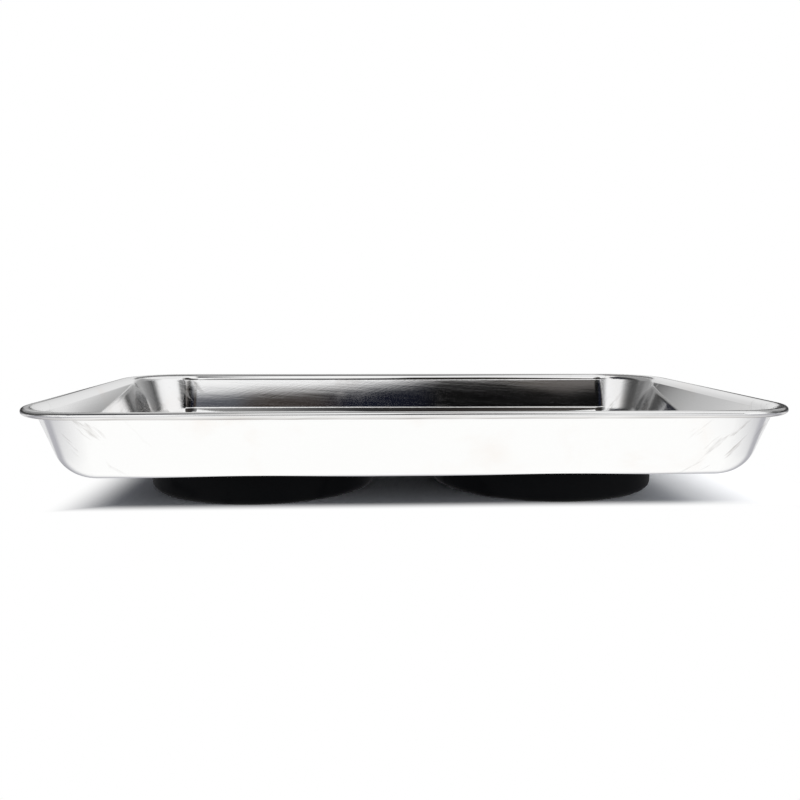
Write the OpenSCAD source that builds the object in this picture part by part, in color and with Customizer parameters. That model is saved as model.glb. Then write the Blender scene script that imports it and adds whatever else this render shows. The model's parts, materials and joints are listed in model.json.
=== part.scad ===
// Rectangular magnetic parts tray: a pressed steel dish with a rolled rim
// that stands on two round magnets in rubber boots.
// Millimetres, +Z up, X along the length.
// The origin is on the ground, under the middle of the dish.

/* [Dish] */
// Length over the rim
tray_length = 240; // [220:1:300]
// Width over the rim
tray_width = 140; // [120:1:200]
// Height from the dish's underside to the top of the rim
dish_depth = 22.9; // [16:0.1:28]
// Radius of the corners, seen from above, at the rim's edge
corner_radius = 23; // [22:1:45]
// Thickness of the dish's steel sheet
dish_sheet = 0.6; // [0.4:0.1:0.9]
// Slope of the walls away from upright, in degrees
wall_draft = 20.4; // [8:0.1:26]
// Inside radius of the bend between the floor and the walls
floor_bend = 12; // [6:0.1:14]

/* [Rim] */
// Radius under the flare, where the walls turn outwards
flare_bend = 2.8; // [1.5:0.1:4]
// Level ledge between the flare and the bead
rim_ledge = 0.8; // [0.1:0.1:2]
// Diameter of the rolled bead
bead_d = 2.2; // [2:0.1:3]
// How far the bead is rolled round, in degrees
bead_turn = 285; // [200:5:300]

/* [Magnets] */
// Distance between the middles of the two feet
foot_spacing = 104.6; // [92:0.2:120]
// Diameter of the ring magnet
magnet_d = 76; // [66:0.5:82]
// Diameter of the hole through the ring magnet
magnet_bore = 32; // [28:1:44]
// Thickness of the ring magnet
magnet_h = 9; // [8:0.5:14]
// Glue line round the magnet in its cup
glue_gap = 0.3; // [0.1:0.1:0.6]
// How much larger the magnet's chamfers are than the cup's bends
edge_gap = 0.2; // [0.1:0.1:0.6]

/* [Magnet cup] */
// Thickness of the cup's steel sheet
cup_sheet = 1.2; // [0.8:0.1:1.5]
// Inside radius of the cup's bends
cup_bend = 0.8; // [0.5:0.1:1.2]
// Diameter of the well that the nut sits in
well_d = 21; // [16:0.5:23]
// Gap between the well's roof and the stud's flange
well_gap = 0.4; // [0.2:0.1:1]

/* [Rubber boot] */
// Thickness of the rubber
boot_wall = 1.5; // [1:0.1:2.2]
// Inside radius of the boot's corners
boot_bend = 0.5; // [0.3:0.1:1.5]
// Diameter of the hole in the sole, under the nut
boot_hole_d = 26; // [22:0.5:40]
// Gap between the boot and the cup
boot_gap = 0.1; // [0.05:0.05:0.3]
// Gap between the boot's lip and the dish
lip_gap = 0.2; // [0.1:0.05:0.5]
// Gap between the boot's lip and the magnet
lip_clearance = 0.4; // [0.2:0.1:0.6]

/* [Fasteners] */
// Diameter of the weld stud
stud_d = 5; // [4:0.5:6]
// Diameter of the stud's flange, welded under the dish
stud_flange_d = 13; // [9:0.5:16]
// Thickness of the stud's flange
stud_flange_h = 0.8; // [0.5:0.1:1.2]
// Length of stud that shows past the nut
stud_end = 1.2; // [0.6:0.1:2]
// Gap between the stud and what is threaded over it
stud_gap = 0.1; // [0.05:0.05:0.3]
// Diameter of the flat washer
washer_d = 10; // [9:0.5:15]
// Thickness of the flat washer
washer_h = 1; // [0.6:0.1:1.4]
// Diameter of the spring washer
spring_d = 9.2; // [8:0.1:11]
// Thickness of the spring washer
spring_h = 1.2; // [0.8:0.1:1.4]
// Width of the slit in the spring washer
spring_slit = 1.2; // [0.6:0.1:2]
// Width of the nut across its flats
nut_flats = 8; // [7.5:0.5:11]
// Height of the nut
nut_h = 4; // [3:0.1:4.4]
// Angle of the chamfer on the nut's corners, in degrees
nut_chamfer = 30; // [15:1:35]

/* [Hidden] */
$fn = 96;

// Each foot is a stack of sole, cup and magnet under the dish
foot_h = boot_wall + cup_sheet + magnet_h;

// The wall turns up from the floor by this angle, and back by as much at the flare
wall_turn = 90 - wall_draft;
bead_r = bead_d / 2;
floor_bend_out = floor_bend + dish_sheet;
// Height and width that the two bends take of the wall
bends_rise = (floor_bend_out + flare_bend) * (1 - cos(wall_turn));
bends_run = (floor_bend_out + flare_bend) * sin(wall_turn);
wall_length = (dish_depth - dish_sheet - bends_rise) / sin(wall_turn);
// From the edge of the flat floor to the outside of the bead
side_run = bends_run + wall_length * cos(wall_turn) + rim_ledge + bead_r;
// Each corner turns about an upright line, and the flat floor reaches past it
corner_x = tray_length / 2 - corner_radius;
corner_y = tray_width / 2 - corner_radius;
floor_reach = corner_radius - side_run;

magnet_r = magnet_d / 2;
// The ring's edges clear the bends of the cup
magnet_chamfer = cup_bend + edge_gap;

boot_bend_out = boot_bend + boot_wall;
boot_h = foot_h - lip_gap;

cup_r = magnet_r + glue_gap + cup_sheet;
cup_bottom = boot_wall;
cup_bend_out = cup_bend + cup_sheet;
// The cup's edge ends below the bend of the boot's lip
cup_top = boot_h - boot_bend_out;
roof_top = foot_h - stud_flange_h - well_gap;
roof_bottom = roof_top - cup_sheet;

boot_r = cup_r + boot_gap + boot_wall;

stud_hole_r = stud_d / 2 + stud_gap;
washer_bottom = roof_bottom - washer_h;
spring_bottom = washer_bottom - spring_h;
nut_bottom = spring_bottom - nut_h;
stud_bottom = nut_bottom - stud_end;
nut_corner_r = nut_flats / 2 / cos(30);
// A cut that has to pass a face goes this far beyond it
past = 1;
half_turn = 180;

// A flat run of sheet along X. What follows it goes on from its far end.
module flat(length, sheet) {
  square([length, sheet]);
  translate([length, 0])
    children();
}

// The part of a ring that turns on from the line below its middle, by half a turn at most
module ring_slice(inner, outer, turn) {
  reach = 2 * outer;
  intersection() {
    difference() {
      circle(outer);
      circle(inner);
    }
    translate([0, -reach])
      square([reach, 2 * reach]);
    rotate(turn)
      translate([-reach, -reach])
        square([reach, 2 * reach]);
  }
}

// A bend towards the upper face of the sheet, with its inside radius
module bend_up(radius, turn, sheet) {
  outer = radius + sheet;
  translate([0, outer]) {
    ring_slice(radius, outer, turn);
    rotate(turn)
      translate([0, -outer])
        children();
  }
}

// A bend towards the lower face of the sheet, with its inside radius
module bend_down(radius, turn, sheet) {
  translate([0, -radius]) {
    mirror([0, 1])
      ring_slice(radius, radius + sheet, turn);
    rotate(-turn)
      translate([0, radius])
        children();
  }
}

// Section through the dish's side, from a corner's axis out to the bead
module dish_section() {
  flat(floor_reach, dish_sheet)
    bend_up(floor_bend, wall_turn, dish_sheet)
      flat(wall_length, dish_sheet)
        bend_down(flare_bend, wall_turn, dish_sheet)
          flat(rim_ledge, dish_sheet)
            bend_down(bead_r - dish_sheet, half_turn, dish_sheet)
              bend_down(bead_r - dish_sheet, bead_turn - half_turn, dish_sheet);
}

// One straight side of the dish, facing +X
module dish_side(length) {
  rotate([90, 0, 0])
    linear_extrude(height = length, center = true)
      dish_section();
}

module dish() {
  color("gainsboro")
    translate([0, 0, foot_h]) {
      translate([-corner_x, -corner_y, 0])
        cube([2 * corner_x, 2 * corner_y, dish_sheet]);
      for (end = [0, 180])
        rotate(end) {
          translate([corner_x, 0, 0])
            dish_side(2 * corner_y);
          translate([0, corner_y, 0])
            rotate(90)
              dish_side(2 * corner_x);
          translate([corner_x, corner_y, 0])
            rotate_extrude(angle = 90)
              dish_section();
          translate([-corner_x, corner_y, 0])
            rotate(90)
              rotate_extrude(angle = 90)
                dish_section();
        }
    }
}

// Section of the boot: sole, side and the lip that holds it on the cup
module boot_section() {
  sole_edge = boot_r - boot_bend_out;
  translate([boot_hole_d / 2, 0])
    flat(sole_edge - boot_hole_d / 2, boot_wall)
      bend_up(boot_bend, 90, boot_wall)
        flat(boot_h - 2 * boot_bend_out, boot_wall)
          bend_up(boot_bend, 90, boot_wall)
            flat(sole_edge - magnet_r - lip_clearance, boot_wall);
}

module boot() {
  color([0.06, 0.06, 0.07])
    rotate_extrude()
      boot_section();
}

// Section of the cup: roof and side of the well, bottom and outer side
module cup_section() {
  well_r = well_d / 2;
  translate([stud_hole_r, roof_bottom])
    flat(well_r - cup_bend - stud_hole_r, cup_sheet)
      bend_down(cup_bend, 90, cup_sheet)
        flat(roof_bottom - cup_bottom - cup_bend - cup_bend_out, cup_sheet)
          bend_up(cup_bend, 90, cup_sheet)
            flat(cup_r - well_r - 2 * cup_bend_out, cup_sheet)
              bend_up(cup_bend, 90, cup_sheet)
                flat(cup_top - cup_bottom - cup_bend_out, cup_sheet);
}

module cup() {
  color("darkgray")
    rotate_extrude()
      cup_section();
}

// Ring with both edges chamfered
module magnet() {
  inner = magnet_bore / 2;
  c = magnet_chamfer;
  color([0.2, 0.2, 0.21])
    translate([0, 0, cup_bottom + cup_sheet])
      rotate_extrude()
        polygon([
          [inner, c], [inner + c, 0],
          [magnet_r - c, 0], [magnet_r, c],
          [magnet_r, magnet_h - c], [magnet_r - c, magnet_h],
          [inner + c, magnet_h], [inner, magnet_h - c]
        ]);
}

module stud() {
  color("silver") {
    translate([0, 0, foot_h - stud_flange_h])
      cylinder(h = stud_flange_h, d = stud_flange_d);
    translate([0, 0, stud_bottom])
      cylinder(h = foot_h - stud_flange_h - stud_bottom, d = stud_d);
  }
}

module washer() {
  color("silver")
    translate([0, 0, washer_bottom])
      difference() {
        cylinder(h = washer_h, d = washer_d);
        translate([0, 0, -past])
          cylinder(h = washer_h + 2 * past, r = stud_hole_r);
      }
}

// Square section ring with a slanting slit
module spring_washer() {
  slit_slant = 20;
  color("dimgray")
    translate([0, 0, spring_bottom])
      difference() {
        cylinder(h = spring_h, d = spring_d);
        translate([0, 0, -past])
          cylinder(h = spring_h + 2 * past, r = stud_hole_r);
        translate([spring_d / 2, 0, spring_h / 2])
          rotate([slit_slant, 0, 0])
            cube([spring_d, spring_slit, 3 * spring_h + 2 * past], center = true);
      }
}

// Hexagon with its corners chamfered at both ends
module nut() {
  cone_h = nut_corner_r * tan(nut_chamfer);
  color("silver")
    translate([0, 0, nut_bottom])
      difference() {
        intersection() {
          cylinder(h = nut_h, r = nut_corner_r, $fn = 6);
          nut_cone(cone_h);
          translate([0, 0, nut_h])
            mirror([0, 0, 1])
              nut_cone(cone_h);
        }
        translate([0, 0, -past])
          cylinder(h = nut_h + 2 * past, r = stud_hole_r);
      }
}

// A cone that opens upwards from the inscribed circle of the hexagon
module nut_cone(cone_h) {
  flats_r = nut_flats / 2;
  slope = cone_h / nut_corner_r;
  cylinder(h = nut_h, r1 = flats_r, r2 = flats_r + nut_h / slope);
}

// Puts a piece of a foot on the left (-1) or the right (1)
module on_foot(side) {
  translate([side * foot_spacing / 2, 0, 0])
    children();
}

dish();
on_foot(-1) boot();  // left_boot
on_foot(1) boot();  // right_boot
on_foot(-1) cup();  // left_cup
on_foot(1) cup();  // right_cup
on_foot(-1) magnet();  // left_magnet
on_foot(1) magnet();  // right_magnet
on_foot(-1) stud();  // left_stud
on_foot(1) stud();  // right_stud
on_foot(-1) washer();  // left_washer
on_foot(1) washer();  // right_washer
on_foot(-1) spring_washer();  // left_spring_washer
on_foot(1) spring_washer();  // right_spring_washer
on_foot(-1) nut();  // left_nut
on_foot(1) nut();  // right_nut
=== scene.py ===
import json
import math

import bmesh
import bpy
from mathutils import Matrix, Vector


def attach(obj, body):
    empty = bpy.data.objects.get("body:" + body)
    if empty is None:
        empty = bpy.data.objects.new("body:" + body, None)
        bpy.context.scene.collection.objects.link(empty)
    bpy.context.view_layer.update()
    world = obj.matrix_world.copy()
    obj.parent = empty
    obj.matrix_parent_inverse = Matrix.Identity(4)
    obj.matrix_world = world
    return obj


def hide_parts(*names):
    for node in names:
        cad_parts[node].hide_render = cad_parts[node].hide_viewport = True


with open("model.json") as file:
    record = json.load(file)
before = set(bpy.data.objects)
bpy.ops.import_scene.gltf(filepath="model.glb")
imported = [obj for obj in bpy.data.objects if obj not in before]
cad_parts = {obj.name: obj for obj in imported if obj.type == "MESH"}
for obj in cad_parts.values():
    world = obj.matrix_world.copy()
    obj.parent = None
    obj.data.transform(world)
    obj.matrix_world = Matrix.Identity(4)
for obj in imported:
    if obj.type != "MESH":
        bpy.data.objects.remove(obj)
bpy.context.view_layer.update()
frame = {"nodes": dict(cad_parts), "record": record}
mm = 0.001  # sizes below are in millimetres, Blender's are in metres
mergeDistance = 0.002 * mm


def addNode(tree, kind, inputs=None, **settings):
    node = tree.nodes.new(kind)
    for key, value in settings.items():
        setattr(node, key, value)
    for key, value in (inputs or {}).items():
        if isinstance(value, bpy.types.NodeSocket):
            tree.links.new(value, node.inputs[key])
        else:
            node.inputs[key].default_value = value
    return node


def newGroup(name, inputs, outputs):
    tree = bpy.data.node_groups.new(name, "ShaderNodeTree")
    for label, kind, value in inputs:
        socket = tree.interface.new_socket(label, in_out="INPUT", socket_type=kind)
        socket.default_value = value
    for label, kind in outputs:
        tree.interface.new_socket(label, in_out="OUTPUT", socket_type=kind)
    return tree, tree.nodes.new("NodeGroupInput").outputs, tree.nodes.new("NodeGroupOutput").inputs


def useGroup(tree, group, inputs):
    node = tree.nodes.new("ShaderNodeGroup")
    node.node_tree = group
    for key, value in inputs.items():
        if isinstance(value, bpy.types.NodeSocket):
            tree.links.new(value, node.inputs[key])
        else:
            node.inputs[key].default_value = value
    return node.outputs


def newMaterial(name):
    material = bpy.data.materials.new(name)
    material.use_nodes = True
    tree = material.node_tree
    shader = tree.nodes["Principled BSDF"]
    coords = tree.nodes.new("ShaderNodeTexCoord").outputs
    return material, tree, shader, coords


def math2(tree, operation, a, b):
    return addNode(tree, "ShaderNodeMath", {0: a, 1: b}, operation=operation).outputs[0]


def remap(tree, value, low, high, newLow, newHigh):
    node = addNode(tree, "ShaderNodeMapRange", {"Value": value, "From Min": low, "From Max": high,
                                                "To Min": newLow, "To Max": newHigh})
    return node.outputs["Result"]


def mixValue(tree, factor, a, b):
    return addNode(tree, "ShaderNodeMix", {0: factor, 2: a, 3: b}, data_type="FLOAT").outputs[0]


def mixColour(tree, factor, a, b):
    node = addNode(tree, "ShaderNodeMix", data_type="RGBA")
    for key, value in ((0, factor), (6, a), (7, b)):
        if isinstance(value, bpy.types.NodeSocket):
            tree.links.new(value, node.inputs[key])
        else:
            node.inputs[key].default_value = value
    return node.outputs[2]


# streaks: noise drawn out along one direction, as polishing and brushing leave it
def makeStreaks():
    tree, given, out = newGroup(
        "polishingStreaks",
        [("Vector", "NodeSocketVector", (0, 0, 0)), ("Along", "NodeSocketFloat", 100.0),
         ("Across", "NodeSocketFloat", 1500.0), ("Slant", "NodeSocketFloat", 0.0)],
        [("Height", "NodeSocketFloat")])
    turned = addNode(tree, "ShaderNodeVectorRotate", {"Vector": given["Vector"], "Angle": given["Slant"]},
                     rotation_type="Z_AXIS")
    scale = addNode(tree, "ShaderNodeCombineXYZ", {"X": given["Along"], "Y": given["Across"], "Z": 1.0})
    drawnOut = addNode(tree, "ShaderNodeVectorMath", {0: turned.outputs[0], 1: scale.outputs[0]},
                       operation="MULTIPLY")
    noise = addNode(tree, "ShaderNodeTexNoise", {"Vector": drawnOut.outputs[0], "Scale": 1.0,
                                                 "Detail": 3.0, "Roughness": 0.6})
    tree.links.new(noise.outputs["Fac"], out["Height"])
    return tree


# patches: soft blotches with a threshold, for hand marks, dust and stains
def makePatches():
    tree, given, out = newGroup(
        "softPatches",
        [("Vector", "NodeSocketVector", (0, 0, 0)), ("Size", "NodeSocketFloat", 0.02),
         ("Start", "NodeSocketFloat", 0.5), ("End", "NodeSocketFloat", 0.7)],
        [("Mask", "NodeSocketFloat")])
    scale = math2(tree, "DIVIDE", 1.0, given["Size"])
    noise = addNode(tree, "ShaderNodeTexNoise", {"Vector": given["Vector"], "Scale": scale,
                                                 "Detail": 4.0, "Roughness": 0.55, "Distortion": 0.4})
    mask = addNode(tree, "ShaderNodeMapRange", {"Value": noise.outputs["Fac"], "From Min": given["Start"],
                                                "From Max": given["End"]}, interpolation_type="SMOOTHSTEP")
    tree.links.new(mask.outputs["Result"], out["Mask"])
    return tree


polishingStreaks = makeStreaks()
softPatches = makePatches()


polishedSteel = {
    "colour": (0.95, 0.95, 0.95, 1), "handColour": (0.93, 0.9, 0.88, 1),
    # the scuffs are wear; the crevice colour is painted shade under the rolled rim
    "scuffColour": (0.5, 0.48, 0.46, 1), "creviceShadeColour": (0.42, 0.4, 0.39, 1),
    "roughness": 0.03, "streakRoughness": 0.06, "handRoughness": 0.09, "scuffRoughness": 0.25,
    "cornerRoughness": 0.15, "arcStart": 0.9, "depth": 0.0000014,
    "hands": {"Size": 0.03, "Start": 0.52, "End": 0.75}, "streakRange": (0.3, 0.7), "leastCreviceShade": 0.3,
    "fine": {"Along": 170.0, "Across": 1700.0, "Slant": 0.35},    # short strokes, slanted
    "long": {"Along": 25.0, "Across": 900.0, "Slant": -0.06},     # strokes round the wall
    "corner": {"Along": 160.0, "Across": 1500.0}, "cornerSlant": 0.3, "cornerDepth": 16.0,
    "scuff": {"Along": 60.0, "Across": 300.0}, "scuffSlant": 0.8, "scuffStart": 0.59, "scuffEnd": 0.75,
}


def makeSteel(size):
    material, tree, shader, coords = newMaterial("polishedSteel")
    fine = useGroup(tree, polishingStreaks, {"Vector": coords["UV"], **size["fine"]})["Height"]
    long = useGroup(tree, polishingStreaks, {"Vector": coords["UV"], **size["long"]})["Height"]
    hands = useGroup(tree, softPatches, {"Vector": coords["Object"], **size["hands"]})["Mask"]
    low, high = size["streakRange"]
    # the corners were polished by hand: stronger strokes, slanted to either side
    corner = addNode(tree, "ShaderNodeAttribute", attribute_name="corner").outputs["Fac"]
    place = addNode(tree, "ShaderNodeSeparateXYZ", {0: coords["Object"]}).outputs
    side = addNode(tree, "ShaderNodeMath", {0: math2(tree, "MULTIPLY", place["X"], place["Y"])},
                   operation="SIGN").outputs[0]
    slant = math2(tree, "MULTIPLY", side, size["cornerSlant"])
    strokes = useGroup(tree, polishingStreaks,
                       {"Vector": coords["UV"], "Slant": slant, **size["corner"]})["Height"]
    arc = remap(tree, corner, size["arcStart"], 1, 0, 1)
    strokes = math2(tree, "MULTIPLY", math2(tree, "MULTIPLY", strokes, arc), size["cornerDepth"])
    height = math2(tree, "ADD", math2(tree, "ADD", fine, long), strokes)
    bump = addNode(tree, "ShaderNodeBump", {"Strength": 1.0, "Distance": size["depth"], "Height": height})
    tree.links.new(bump.outputs["Normal"], shader.inputs["Normal"])
    # and they are where the tray gets scuffed
    slant = math2(tree, "MULTIPLY", side, size["scuffSlant"])
    scuff = useGroup(tree, polishingStreaks,
                     {"Vector": coords["UV"], "Slant": slant, **size["scuff"]})["Height"]
    scuff = math2(tree, "MULTIPLY", remap(tree, scuff, size["scuffStart"], size["scuffEnd"], 0, 1), corner)
    colour = mixColour(tree, hands, size["colour"], size["handColour"])
    # painted shade in the crevice under the rolled rim, broken up by the long streaks
    creviceShade = addNode(tree, "ShaderNodeAttribute", attribute_name="creviceShade").outputs["Fac"]
    creviceShade = math2(tree, "MULTIPLY", creviceShade, remap(tree, long, low, high, size["leastCreviceShade"], 1))
    colour = mixColour(tree, creviceShade, colour, size["creviceShadeColour"])
    colour = mixColour(tree, scuff, colour, size["scuffColour"])
    tree.links.new(colour, shader.inputs["Base Color"])
    streakRoughness = remap(tree, long, low, high, size["roughness"], size["streakRoughness"])
    roughness = mixValue(tree, hands, streakRoughness, size["handRoughness"])
    roughness = mixValue(tree, arc, roughness, size["cornerRoughness"])
    roughness = mixValue(tree, scuff, roughness, size["scuffRoughness"])
    tree.links.new(roughness, shader.inputs["Roughness"])
    shader.inputs["Metallic"].default_value = 1.0
    return material


mouldedRubber = {
    "colour": (0.002, 0.0023, 0.003, 1), "dustColour": (0.02, 0.021, 0.023, 1), "dustShare": 0.2,
    "dust": {"Size": 0.012, "Start": 0.5, "End": 0.8}, "roughness": 0.6, "dustRoughness": 0.85,
    "gloss": 0.07, "grainSize": 0.0006, "grainDepth": 0.00003, "grainStrength": 0.6,
}


def makeRubber(size):
    material, tree, shader, coords = newMaterial("mouldedRubber")
    dust = useGroup(tree, softPatches, {"Vector": coords["Object"], **size["dust"]})["Mask"]
    grain = addNode(tree, "ShaderNodeTexNoise", {"Vector": coords["Object"], "Scale": 1 / size["grainSize"],
                                                 "Detail": 3.0}).outputs["Fac"]
    bump = addNode(tree, "ShaderNodeBump", {"Strength": size["grainStrength"], "Height": grain,
                                            "Distance": size["grainDepth"]})
    tree.links.new(bump.outputs["Normal"], shader.inputs["Normal"])
    shader.inputs["Specular IOR Level"].default_value = size["gloss"]
    thin = math2(tree, "MULTIPLY", dust, size["dustShare"])
    tree.links.new(mixColour(tree, thin, size["colour"], size["dustColour"]), shader.inputs["Base Color"])
    tree.links.new(remap(tree, dust, 0, 1, size["roughness"], size["dustRoughness"]),
                   shader.inputs["Roughness"])
    return material


# plated and plain steel of the hidden pieces: one recipe, its own colours for each
hiddenMetals = {
    "cup_steel": {"colour": (0.5, 0.5, 0.5, 1), "stain": (0.3, 0.28, 0.26, 1),
                  "roughness": 0.38, "metallic": 1.0},
    "zinc_steel": {"colour": (0.66, 0.68, 0.72, 1), "stain": (0.6, 0.57, 0.45, 1),
                   "roughness": 0.3, "metallic": 1.0},
    "spring_steel": {"colour": (0.1, 0.1, 0.11, 1), "stain": (0.2, 0.17, 0.15, 1),
                     "roughness": 0.35, "metallic": 1.0},
    "ferrite": {"colour": (0.05, 0.05, 0.054, 1), "stain": (0.09, 0.085, 0.08, 1),
                "roughness": 0.7, "metallic": 0.0},
}
hiddenWear = {
    "stains": {"Size": 0.004, "Start": 0.45, "End": 0.75}, "stainRoughness": 0.15,
    "lines": {"Along": 300.0, "Across": 4000.0, "Slant": 0.5}, "lineStrength": 0.5, "lineDepth": 0.00001,
}


def makeHidden(name, size, wear):
    material, tree, shader, coords = newMaterial(name)
    stain = useGroup(tree, softPatches, {"Vector": coords["Object"], **wear["stains"]})["Mask"]
    lines = useGroup(tree, polishingStreaks, {"Vector": coords["Object"], **wear["lines"]})["Height"]
    bump = addNode(tree, "ShaderNodeBump", {"Strength": wear["lineStrength"], "Height": lines,
                                            "Distance": wear["lineDepth"]})
    tree.links.new(bump.outputs["Normal"], shader.inputs["Normal"])
    tree.links.new(mixColour(tree, stain, size["colour"], size["stain"]), shader.inputs["Base Color"])
    roughest = size["roughness"] + wear["stainRoughness"]
    tree.links.new(remap(tree, stain, 0, 1, size["roughness"], roughest), shader.inputs["Roughness"])
    shader.inputs["Metallic"].default_value = size["metallic"]
    return material


finishes = {name: makeHidden(name, size, hiddenWear) for name, size in hiddenMetals.items()}
finishes["dish_steel"] = makeSteel(polishedSteel)
finishes["boot_rubber"] = makeRubber(mouldedRubber)
for part in frame["record"]["subparts"]:
    mesh = frame["nodes"][part["node"]].data
    mesh.materials.clear()
    mesh.materials.append(finishes[part["material_slot"]])
print("materials made:", len(finishes))


# A pen draws a section in the XZ plane: it has a last vertex, a place and a heading.
def startPen(bm, x, z, heading):
    return {"bm": bm, "vert": bm.verts.new((x * mm, 0, z * mm)), "heading": heading}


def drawLine(pen, length):
    step = Vector((math.cos(pen["heading"]), 0, math.sin(pen["heading"]))) * length * mm
    made = bmesh.ops.extrude_vert_indiv(pen["bm"], verts=[pen["vert"]])
    bmesh.ops.translate(pen["bm"], verts=made["verts"], vec=step)
    pen["vert"] = made["verts"][0]


def drawArc(pen, radius, turn, steps):
    side = pen["heading"] + math.copysign(math.pi / 2, turn)
    centre = pen["vert"].co + Vector((math.cos(side), 0, math.sin(side))) * radius * mm
    made = bmesh.ops.spin(pen["bm"], geom=[pen["vert"]], cent=centre, axis=(0, -1, 0), angle=turn,
                          steps=steps)
    pen["vert"] = next(e for e in made["geom_last"] if isinstance(e, bmesh.types.BMVert))
    pen["heading"] += turn


def turnPen(pen, turn):
    pen["heading"] += turn


def placePiece(bm, name, slotName, *nodes):
    bmesh.ops.remove_doubles(bm, verts=bm.verts, dist=mergeDistance)
    bmesh.ops.recalc_face_normals(bm, faces=bm.faces)
    mesh = bpy.data.meshes.new(name)
    for face in bm.faces:
        face.smooth = True
    bm.to_mesh(mesh)
    bm.free()
    piece = bpy.data.objects.new(name, mesh)
    bpy.context.scene.collection.objects.link(piece)
    mesh.materials.append(finishes[slotName])
    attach(piece, "root")
    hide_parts(*nodes)
    print("piece", name, "faces", len(mesh.polygons))
    return piece


dish = {
    "length": 240, "width": 140, "depth": 22.9, "cornerRadius": 23, "underside": 11.7, "sheet": 0.6,
    "floorBend": 12, "wallTurn": math.radians(69.6), "flareBend": 2.8, "ledge": 0.8,
    "beadRadius": 1.1, "beadTurn": math.radians(285),
    "bendSteps": 20, "flareSteps": 12, "beadSteps": 28, "cornerSteps": 40, "sideSteps": 12,
    "shortStep": 1.5, "floorInsets": (0.4, 0.6), "levelTolerance": 0.1,
    # creviceTop and creviceOutset bound the painted shade under the rolled rim
    "unwrapRadius": 18, "floorLevel": 12.5, "cornerFade": 9, "creviceTop": 33.7, "creviceOutset": 20.0,
    "flatLean": 0.995, "flatArea": 1e-5,         # a floor face, by its normal and its area in square metres
    "cornerEase": {"left": 6.5, "right": 4.4}, "easeTilt": math.radians(0.35),
    "easeEnd": math.radians(60), "easeTop": 34.5, "easeOutset": 21.0,
}
# the wall fills what the two bends leave of the depth, and the floor what the side leaves of the corner
bends = dish["floorBend"] + dish["sheet"] + dish["flareBend"]
wallRise = dish["depth"] - dish["sheet"] - bends * (1 - math.cos(dish["wallTurn"]))
dish["wallLength"] = wallRise / math.sin(dish["wallTurn"])
sideRun = (bends * math.sin(dish["wallTurn"]) + dish["wallLength"] * math.cos(dish["wallTurn"])
           + dish["ledge"] + dish["beadRadius"])
dish["floorReach"] = dish["cornerRadius"] - sideRun


shortRun = 0.4


# wall between two bends, with a short run at each end so that the long run shades flat
def drawWall(pen, length):
    drawLine(pen, shortRun)
    drawLine(pen, length - 2 * shortRun)
    drawLine(pen, shortRun)


def drawDishSection(bm, size, x):
    turn, sheet, bead = size["wallTurn"], size["sheet"], size["beadRadius"]
    pen = startPen(bm, x + size["floorReach"], size["underside"] + sheet, 0)
    drawArc(pen, size["floorBend"], turn, size["bendSteps"])        # inner face, outwards
    drawWall(pen, size["wallLength"])
    drawArc(pen, size["flareBend"] + sheet, -turn, size["flareSteps"])
    drawLine(pen, size["ledge"])
    drawArc(pen, bead, -size["beadTurn"], size["beadSteps"])
    turnPen(pen, -math.pi / 2)                                      # edge of the sheet, inside the bead
    drawLine(pen, sheet)
    turnPen(pen, -math.pi / 2)
    drawArc(pen, bead - sheet, size["beadTurn"], size["beadSteps"])  # outer face, back to the floor
    drawLine(pen, size["ledge"])
    drawArc(pen, size["flareBend"], turn, size["flareSteps"])
    drawWall(pen, size["wallLength"])
    drawArc(pen, size["floorBend"] + sheet, -turn, size["bendSteps"])


# straight side, with a short step at each end so that its middle shades flat, and a cut where easing starts
def sweepStraight(bm, edges, way, size, eases):
    steps = size["sideSteps"]
    short = way.normalized() * size["shortStep"] * mm
    first, last = [way.normalized() * ease * mm - short for ease in eases]
    for step in [short, first] + [(way - 2 * short - first - last) / steps] * steps + [last, short]:
        made = bmesh.ops.extrude_edge_only(bm, edges=edges)["geom"]
        bmesh.ops.translate(bm, verts=[e for e in made if isinstance(e, bmesh.types.BMVert)], vec=step)
        edges = [e for e in made if isinstance(e, bmesh.types.BMEdge)]
    return edges


def sweepCorner(bm, edges, centre, steps):
    verts = list({v for e in edges for v in e.verts})
    made = bmesh.ops.spin(bm, geom=verts + edges, cent=centre, axis=(0, 0, 1), angle=math.pi / 2,
                          steps=steps)
    return [e for e in made["geom_last"] if isinstance(e, bmesh.types.BMEdge)]


def makeDish(size):
    bm = bmesh.new()
    cornerX = size["length"] / 2 - size["cornerRadius"]
    cornerY = size["width"] / 2 - size["cornerRadius"]
    drawDishSection(bm, size, cornerX)
    bmesh.ops.translate(bm, verts=bm.verts, vec=(0, -cornerY * mm, 0))
    edges = list(bm.edges)
    left, right = size["cornerEase"]["left"], size["cornerEase"]["right"]
    # once round: a straight side and the corner after it, four times
    for sideX, sideY, wayX, wayY, eases in ((1, 1, 0, 1, (right, left)), (-1, 1, -1, 0, (right, left)),
                                            (-1, -1, 0, -1, (right, left)), (1, -1, 1, 0, (left, right))):
        way = Vector((2 * cornerX * wayX, 2 * cornerY * wayY, 0)) * mm
        edges = sweepStraight(bm, edges, way, size, eases)
        centre = Vector((sideX * cornerX, sideY * cornerY, 0)) * mm
        edges = sweepCorner(bm, edges, centre, size["cornerSteps"])
    bmesh.ops.remove_doubles(bm, verts=bm.verts, dist=mergeDistance)
    # the floor's two faces close the sheet, each with narrow rings that keep it shading flat
    for level in (size["underside"], size["underside"] + size["sheet"]):
        near = size["levelTolerance"] * mm
        rim = [e for e in bm.edges if e.is_boundary and abs(e.verts[0].co.z - level * mm) < near]
        floor = bmesh.ops.edgeloop_fill(bm, edges=rim)["faces"]
        for inset in size["floorInsets"]:
            bmesh.ops.inset_region(bm, faces=floor, thickness=inset * mm, use_even_offset=True)
    return bm, cornerX * mm, cornerY * mm


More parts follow.
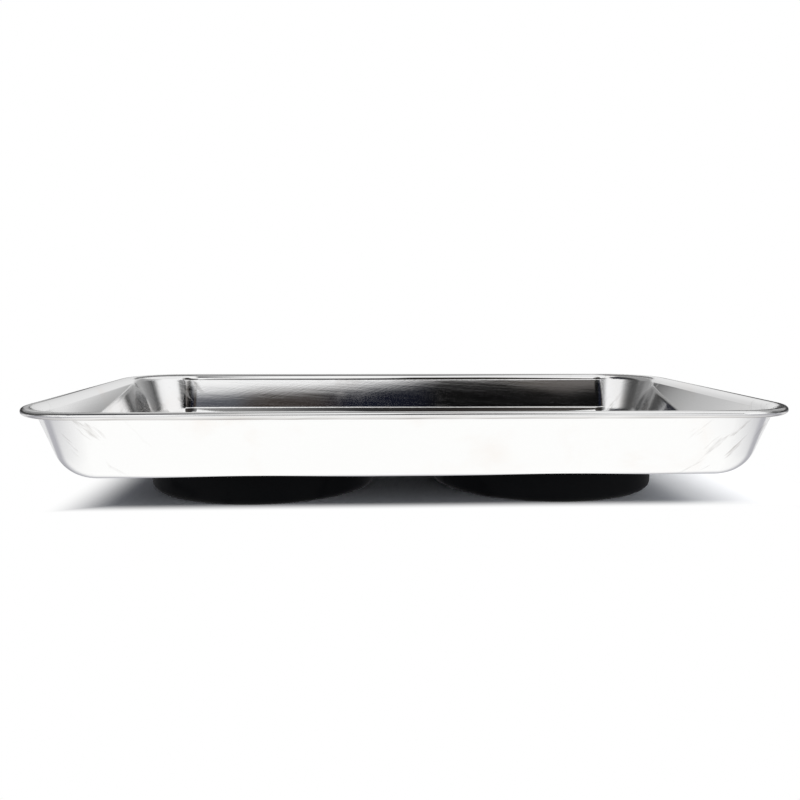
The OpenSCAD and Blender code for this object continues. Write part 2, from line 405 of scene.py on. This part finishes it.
# UVs follow the sheet: U round the tray, V up the wall, both in metres
def unwrapSheet(bm, cornerX, cornerY, size):
    radius, fade, floorLevel = size["unwrapRadius"] * mm, size["cornerFade"] * mm, size["floorLevel"] * mm
    creviceTop, creviceOutset = size["creviceTop"] * mm, size["creviceOutset"] * mm
    layer = bm.loops.layers.uv.new("sheet")
    quarter = math.pi / 2 * radius
    total = 4 * (cornerX + cornerY + quarter)

    def along(p):
        x, y = abs(p.x) - cornerX, abs(p.y) - cornerY
        if x > 0 and y > 0:
            run = cornerY + math.atan2(y, x) * radius
        elif x > y:
            run = abs(p.y)
        else:
            run = cornerY + quarter + cornerX - abs(p.x)
        half = total / 2
        if p.x < 0:
            run = half - run
        return run if p.y >= 0 else total - run

    # how far a point is in a corner, 0 on the straight sides and 1 in the corner itself
    corner = bm.verts.layers.float.new("corner")
    creviceShade = bm.verts.layers.float.new("creviceShade")
    for vert in bm.verts:
        x, y = abs(vert.co.x) - cornerX, abs(vert.co.y) - cornerY
        vert[corner] = min(1, max(0, 1 + min(x, y) / fade)) if vert.co.z > floorLevel else 0
        # how far a point is in the crevice under the rolled rim, where the steel gets painted shade
        outset = math.hypot(max(0, x), max(0, y))
        vert[creviceShade] = min(1, max(0, (creviceTop - vert.co.z) / mm)) if outset > creviceOutset else 0
    for face in bm.faces:
        flat = abs(face.normal.z) > size["flatLean"] and face.calc_area() > size["flatArea"]
        runs = [along(loop.vert.co) for loop in face.loops]
        for loop, run in zip(face.loops, runs):
            p = loop.vert.co
            if max(runs) - min(runs) > total / 2 and run < total / 2:
                run += total
            loop[layer].uv = (p.x, p.y) if flat else (run, p.z)


# The inner face mirrors as if each corner began a little way along the long side, as a pressed sheet
# eases into its corner: the normals turn there and lean a little, the shape stays.
def easeCorners(mesh, cornerX, cornerY, size):
    normals = []
    for vert in mesh.vertices:
        ease = size["cornerEase"]["left" if vert.co.x < 0 else "right"] * mm
        x, y = abs(vert.co.x) - cornerX, abs(vert.co.y) - cornerY
        normal = vert.normal
        radius = math.hypot(max(0, x), max(0, y))
        inner = normal.x * vert.co.x * (x > 0) + normal.y * vert.co.y * (y > 0) < 0 and normal.z > 0
        low = vert.co.z < size["easeTop"] * mm and radius < size["easeOutset"] * mm
        if not (inner and low and y > 0 and x > -ease):
            normals.append((0, 0, 0))
            continue
        past = math.atan2(x, y) if x > 0 else 0
        run = past * radius if x > 0 else x
        most = math.pi / 2 * ease / (math.pi / 2 * radius + ease)
        turn = past + most * max(0, 1 - past / size["easeEnd"]) if x > 0 else most * (1 + x / ease)
        lean = math.asin(normal.z) - size["easeTilt"] * max(0, 1 - abs(run) / ease)
        level = math.cos(lean)
        normals.append((-math.copysign(math.sin(turn) * level, vert.co.x),
                        -math.copysign(math.cos(turn) * level, vert.co.y), math.sin(lean)))
    mesh.normals_split_custom_set_from_vertices(normals)


bm, cornerX, cornerY = makeDish(dish)
bm.normal_update()
unwrapSheet(bm, cornerX, cornerY, dish)
pressedDish = placePiece(bm, "pressedDish", "dish_steel", "dish")
easeCorners(pressedDish.data, cornerX, cornerY, dish)


foot = {
    "spacing": 104.6, "bootRadius": 41.1, "bootHeight": 11.5, "rubber": 1.5, "bootBend": 0.5,
    "soleHole": 26, "lipReach": 38.4, "roundSteps": 128, "bendSteps": 8,
}


def drawBootSection(bm, size):
    rubber, bend, steps = size["rubber"], size["bootBend"], size["bendSteps"]
    quarter = math.pi / 2
    outer = bend + rubber
    sole = size["bootRadius"] - outer - size["soleHole"] / 2
    lip = size["bootRadius"] - outer - size["lipReach"]
    side = size["bootHeight"] - 2 * outer
    pen = startPen(bm, size["soleHole"] / 2, 0, 0)
    start = pen["vert"]
    drawWall(pen, sole)                       # outside: sole, side, lip
    drawArc(pen, outer, quarter, steps)
    drawWall(pen, side)
    drawArc(pen, outer, quarter, steps)
    drawLine(pen, lip)
    turnPen(pen, quarter)
    drawLine(pen, rubber)
    turnPen(pen, quarter)
    drawLine(pen, lip)                        # inside: lip, side, sole
    drawArc(pen, bend, -quarter, steps)
    drawWall(pen, side)
    drawArc(pen, bend, -quarter, steps)
    drawWall(pen, sole)
    bm.edges.new((pen["vert"], start))


def makeRound(bm, x, steps):
    geom = list(bm.verts) + list(bm.edges)
    bmesh.ops.spin(bm, geom=geom, cent=(0, 0, 0), axis=(0, 0, 1), angle=2 * math.pi, steps=steps,
                   use_merge=True)
    bmesh.ops.translate(bm, verts=bm.verts, vec=(x * mm, 0, 0))


for sideName, side in (("left", -1), ("right", 1)):
    bm = bmesh.new()
    drawBootSection(bm, foot)
    makeRound(bm, side * foot["spacing"] / 2, foot["roundSteps"])
    placePiece(bm, sideName + "RubberBoot", "boot_rubber", sideName + "_boot")


studio = {
    "floorSize": 8.0, "floorDrop": 0.05, "floorRoughness": 0.9,
    "floorColour": (0.95, 0.95, 0.95, 1), "bounceColour": (0.15, 0.15, 0.16, 1),
    "whiteFront": (-0.037, -0.047), "whiteRear": (0.08, 0.2),      # where it fades to white
    "whiteLeft": (-0.096, -0.118), "whiteRight": (0.115, 0.15),
    # as the metal mirrors it, the floor is white in front, paler than shade at the sides and rear, and
    # dark far off
    "nearTone": (1.04, 1.04, 1.03, 1), "nearFront": (-0.03, -0.044), "nearRear": (0.03, 0.044),
    "nearSide": (0.08, 0.12), "sideSlope": 4.0, "asideShare": 0.6,
    "nearLag": {"start": 0.085, "slope": 0.2}, "frontEnds": (0.105, 0.19),
    "shadeTone": (0.46, 0.46, 0.49, 1), "farTone": (0.06, 0.06, 0.06, 1),
    "farCentre": (0, -0.45, 0), "farStart": 0.54, "farEnd": 0.62,
    # the tent round it lights mostly from the right
    "tentLow": (0.26, 0.27, 0.3, 1), "tentHigh": (1.7, 1.78, 1.9, 1), "tentTurn": 2.5,
    "topLamp": {"strength": 1.8, "softness": 60, "elevation": 66, "azimuth": 90, "colour": (1, 0.97, 0.92)},
}
# what the metal mirrors: rings laid one over the other, each with the elevation it starts at and its tone,
# both by degrees round from behind the camera
rings = [
    {"soft": 3, "edge": [(-180, -90), (180, -90)], "tones": [
        (-180, 0.04), (-85, 0.04), (-70, 0.95), (70, 0.95), (85, 0.04), (180, 0.04)]},
    {"soft": 4, "edge": [
        (-180, 2), (-157, 2), (-153, 11), (-105, 11), (-95, 2), (95, 2), (105, 11), (152, 11),
        (156, 2), (180, 2)], "tones": [
        (-180, 0.75), (-162, 0.7), (-160.8, 0.1), (-159.6, 0.1), (-159.2, 0.2), (-158.7, 0.43),
        (-156.8, 0.5), (-153, 0.76), (-150, 0.5), (-140, 0.3), (-124, 0.26), (-112, 0.14), (-104, 0.1),
        (-80, 0.07), (-72, 0.3), (-62, 0.95), (62, 0.95), (72, 0.4), (84, 0.12), (92, 0.1), (102, 0.2),
        (110, 0.25), (128, 0.38), (140, 0.42), (150, 0.6), (158, 0.7), (160, 0.3), (163, 0.4),
        (163.6, 0.36), (164.4, 0.35), (180, 0.4)]},
    # over the side walls
    {"soft": 2.6, "edge": [
        (-180, 10.6), (-158, 11), (-154, 14), (-150, 90), (156, 90), (158, 6.4), (163, 6.2),
        (180, 6.2)], "tones": [(-180, 0.78), (-160, 0.68), (160, 0.82), (180, 0.78)]},
    # the room behind the camera, from the left of the rear wall to its right
    {"soft": 1.5, "edge": [(-180, 90), (-157, 90), (-155, 26), (130, 26), (135, 90), (180, 90)], "tones": [
        (-180, 0.3), (-116, 0.3), (-104, 0.3), (-98, 0.08), (-85, 0.07), (-78, 0.1), (-71, 0.2),
        (-66, 0.36), (-61, 0.6), (-56, 0.9), (-20, 0.95), (-16.4, 0.95), (-15.4, (0.085, 0.09, 0.11)),
        (-11, (0.08, 0.084, 0.095)), (-9.5, (0.042, 0.034, 0.03)), (-4, (0.036, 0.03, 0.028)),
        (-1, (0.008, 0.01, 0.019)), (5, (0.006, 0.007, 0.013)), (7, 0.004), (33, 0.004), (36, 0.95),
        (78, 0.95), (82, 0.75), (85.5, 0.4), (89, 0.12), (92.5, 0.04), (97.5, 0.05), (103, 0.2),
        (114, 0.36), (180, 0.4)]},
    # a grey strip under its ceiling
    {"soft": 0.8, "edge": [
        (-180, 90), (2, 90), (3, 35.2), (8, 35.2), (12, 34.8), (15, 34), (18, 33.2), (21.5, 33),
        (22.5, 90), (180, 90)], "tones": [
        (-180, 0.1), (3, (0.14, 0.135, 0.13)), (15, (0.12, 0.11, 0.1)), (18, (0.12, 0.11, 0.105)),
        (21.5, (0.16, 0.15, 0.145)), (180, 0.1)]},
    # its ceiling
    {"soft": 1.1, "edge": [
        (-180, 90), (-58, 90), (-54, 40), (-20, 40), (-16.5, 34), (-15.5, 33.3), (-13.7, 33.5), (-9, 34.2),
        (-5, 34.5), (-2, 34.7), (3, 35), (8, 35.4), (12, 35.1), (15, 34.8), (18, 34.6), (21, 34.4),
        (23, 36), (75, 40), (79, 31.6), (110, 31.6), (140, 31.6), (146, 90), (180, 90)], "tones": [
        (-180, 0.95), (72, 0.95), (78, 0.7), (90, 0.55), (101, 0.35), (180, 0.25)]},
    # dark over the ceiling, straight behind the camera and to its left
    {"soft": 1.5, "edge": [
        (-180, 90), (-18, 90), (-16.5, 36.4), (3, 36.6), (25, 37.2), (27, 90), (180, 90)], "tones": [
        (-180, 0.25), (-14, 0.22), (-10, 0.16), (-5, 0.08), (0, 0.03), (10, (0.025, 0.022, 0.02)),
        (22, (0.06, 0.055, 0.05)), (180, 0.03)]},
    {"soft": 2, "edge": [
        (-180, 90), (-98, 90), (-94, 33), (-78, 35), (-60, 38.5), (-45, 41.5), (-30, 43),
        (-27, 90), (180, 90)], "tones": [
        (-180, 0.04), (-80, 0.045), (-60, (0.025, 0.026, 0.035)), (180, 0.03)]},
    # grey in front of the camera, and white overhead
    {"soft": 3, "edge": [(-180, 29), (-161, 29), (-157, 90), (154, 90), (158, 29), (180, 29)], "tones": [
        (-180, 0.2), (180, 0.2)]},
    {"soft": 6, "edge": [
        (-180, 76), (-163, 76), (-157, 78), (-32, 74), (-26, 54), (-20, 49), (-3, 50), (3, 54),
        (10, 66), (30, 66), (40, 44), (152, 44), (158, 74), (180, 76)], "tones": [
        (-180, 0.95), (35, 0.95), (45, 0.85), (150, 0.85), (160, 0.95), (180, 0.95)]},
]


def smoothStep(tree, value, start, end):
    low, high, up = min(start, end), max(start, end), float(end > start)
    step = addNode(tree, "ShaderNodeMapRange",
                   {"Value": value, "From Min": low, "From Max": high, "To Min": 1 - up, "To Max": up},
                   interpolation_type="SMOOTHSTEP")
    return step.outputs["Result"]


def makeFloor(size):
    bm = bmesh.new()
    bmesh.ops.create_grid(bm, x_segments=1, y_segments=1, size=size["floorSize"] / 2)
    mesh = bpy.data.meshes.new("floor")
    bm.to_mesh(mesh)
    bm.free()
    floor = bpy.data.objects.new("floor", mesh)
    floor.location.z = -size["floorDrop"] * mm
    bpy.context.scene.collection.objects.link(floor)
    material, tree, shader, coords = newMaterial("paleFloor")
    shader.inputs["Roughness"].default_value = size["floorRoughness"]
    shader.inputs["Specular IOR Level"].default_value = 0.0
    rays = addNode(tree, "ShaderNodeLightPath").outputs
    bounced = math2(tree, "MINIMUM", rays["Diffuse Depth"], 1.0)
    colour = mixColour(tree, bounced, size["floorColour"], size["bounceColour"])
    tree.links.new(colour, shader.inputs["Base Color"])
    # seen straight, the floor fades to white
    place = addNode(tree, "ShaderNodeSeparateXYZ", {0: coords["Object"]}).outputs
    aside = addNode(tree, "ShaderNodeMath", {0: place["X"]}, operation="ABSOLUTE").outputs[0]
    inFront = smoothStep(tree, place["Y"], *size["whiteFront"])
    atSides = math2(tree, "MAXIMUM", smoothStep(tree, place["X"], *size["whiteLeft"]),
                    smoothStep(tree, place["X"], *size["whiteRight"]))
    away = math2(tree, "MAXIMUM", atSides, smoothStep(tree, place["Y"], *size["whiteRear"]))
    glow = addNode(tree, "ShaderNodeEmission", {"Color": (1, 1, 1, 1)}).outputs[0]
    factor = math2(tree, "MULTIPLY", rays["Is Camera Ray"], math2(tree, "MAXIMUM", inFront, away))
    surface = addNode(tree, "ShaderNodeMixShader", {0: factor, 1: shader.outputs[0], 2: glow}).outputs[0]
    # mirrored, it is light near the tray, dark far off, and in shade under the tray
    lag = math2(tree, "MAXIMUM", math2(tree, "SUBTRACT", aside, size["nearLag"]["start"]), 0.0)
    lagged = math2(tree, "ADD", place["Y"], math2(tree, "MULTIPLY", lag, size["nearLag"]["slope"]))
    inFront = remap(tree, lagged, *size["nearFront"], 0, 1)
    inFront = math2(tree, "MULTIPLY", inFront, remap(tree, aside, *size["frontEnds"], 1, 0))
    atRear = remap(tree, place["Y"], *size["nearRear"], 0, 1)
    forward = math2(tree, "MINIMUM", place["Y"], 0.0)
    drawnIn = math2(tree, "ADD", aside, math2(tree, "MULTIPLY", forward, size["sideSlope"]))
    near = math2(tree, "MAXIMUM", atRear, remap(tree, drawnIn, *size["nearSide"], 0, 1))
    near = math2(tree, "MAXIMUM", math2(tree, "MULTIPLY", near, size["asideShare"]), inFront)
    behind = math2(tree, "MAXIMUM", place["Y"], size["farCentre"][1])
    spot = addNode(tree, "ShaderNodeCombineXYZ", {"X": place["X"], "Y": behind}).outputs[0]
    distance = addNode(tree, "ShaderNodeVectorMath", {0: spot, 1: size["farCentre"]}, operation="DISTANCE")
    far = smoothStep(tree, distance.outputs["Value"], size["farStart"], size["farEnd"])
    tone = mixColour(tree, near, size["shadeTone"], mixColour(tree, far, size["nearTone"], size["farTone"]))
    glow = addNode(tree, "ShaderNodeEmission", {"Color": tone}).outputs[0]
    mirrored = math2(tree, "MULTIPLY", rays["Is Glossy Ray"], math2(tree, "SUBTRACT", 1.0, bounced))
    surface = addNode(tree, "ShaderNodeMixShader", {0: mirrored, 1: surface, 2: glow}).outputs[0]
    tree.links.new(surface, tree.nodes["Material Output"].inputs["Surface"])
    mesh.materials.append(material)


def azimuthRamp(tree, azimuth, values):
    ramp = addNode(tree, "ShaderNodeValToRGB", {0: azimuth})
    stops = ramp.color_ramp.elements
    stops.remove(stops[1])
    for i, (degrees, value) in enumerate(values):
        place = (degrees + 180) / 360
        stop = stops[0] if i == 0 else stops.new(place)
        stop.position = place
        stop.color = (*value, 1) if isinstance(value, tuple) else (value, value, value, 1)
    return ramp.outputs["Color"]


def makeWorld(size, rings):
    world = bpy.data.worlds.new("studio")
    bpy.context.scene.world = world
    world.use_nodes = True
    tree = world.node_tree
    direction = tree.nodes.new("ShaderNodeTexCoord").outputs["Generated"]
    x, y, z = addNode(tree, "ShaderNodeSeparateXYZ", {0: direction}).outputs
    toCamera = math2(tree, "MULTIPLY", y, -1.0)
    azimuth = remap(tree, math2(tree, "ARCTAN2", x, toCamera), -math.pi, math.pi, 0, 1)
    elevation = addNode(tree, "ShaderNodeMath", {0: z}, operation="ARCSINE").outputs[0]
    elevation = math2(tree, "MULTIPLY", elevation, 180 / math.pi)
    mirrored = (0, 0, 0, 1)
    for ring in rings:
        above = math2(tree, "SUBTRACT", elevation, azimuthRamp(tree, azimuth, ring["edge"]))
        above = smoothStep(tree, above, 0.0, ring["soft"])
        mirrored = mixColour(tree, above, mirrored, azimuthRamp(tree, azimuth, ring["tones"]))
    rays = addNode(tree, "ShaderNodeLightPath").outputs
    straight = math2(tree, "LESS_THAN", rays["Diffuse Depth"], 0.5)
    toRight = math2(tree, "POWER", remap(tree, x, -1, 1, 0, 1), size["tentTurn"])
    tent = mixColour(tree, toRight, size["tentLow"], size["tentHigh"])
    seen = mixColour(tree, math2(tree, "MULTIPLY", rays["Is Glossy Ray"], straight), tent, mirrored)
    seen = mixColour(tree, rays["Is Camera Ray"], seen, (1, 1, 1, 1))
    tree.links.new(seen, tree.nodes["Background"].inputs["Color"])


def addLamp(name, lamp):
    light = bpy.data.lights.new(name, "SUN")
    light.energy = lamp["strength"]
    light.color = lamp["colour"]
    light.angle = math.radians(lamp["softness"])
    holder = bpy.data.objects.new(name, light)
    bpy.context.scene.collection.objects.link(holder)
    holder.rotation_euler = (math.radians(90 - lamp["elevation"]), 0, math.radians(lamp["azimuth"]))
    holder.visible_glossy = False


makeFloor(studio)
makeWorld(studio, rings)
addLamp("topLamp", studio["topLamp"])
print("studio lit")


view = {
    "place": (-15.9, -288.08, 63.13), "lens": 34.366, "sensor": 36, "clip": (0.01, 50),
    "pitch": 0.1137, "yaw": -0.0505, "roll": 0.0031,
}
cameraData = bpy.data.cameras.new("camera")
cameraData.sensor_width = view["sensor"]
cameraData.lens = view["lens"]
cameraData.clip_start, cameraData.clip_end = view["clip"]
camera = bpy.data.objects.new("camera", cameraData)
bpy.context.scene.collection.objects.link(camera)
camera.location = Vector(view["place"]) * mm
camera.rotation_euler = (math.pi / 2 - view["pitch"], 0, view["yaw"])
camera.rotation_euler.rotate_axis("Z", view["roll"])
bpy.context.scene.camera = camera
bpy.context.scene.view_settings.view_transform = "Standard"
print("camera set")
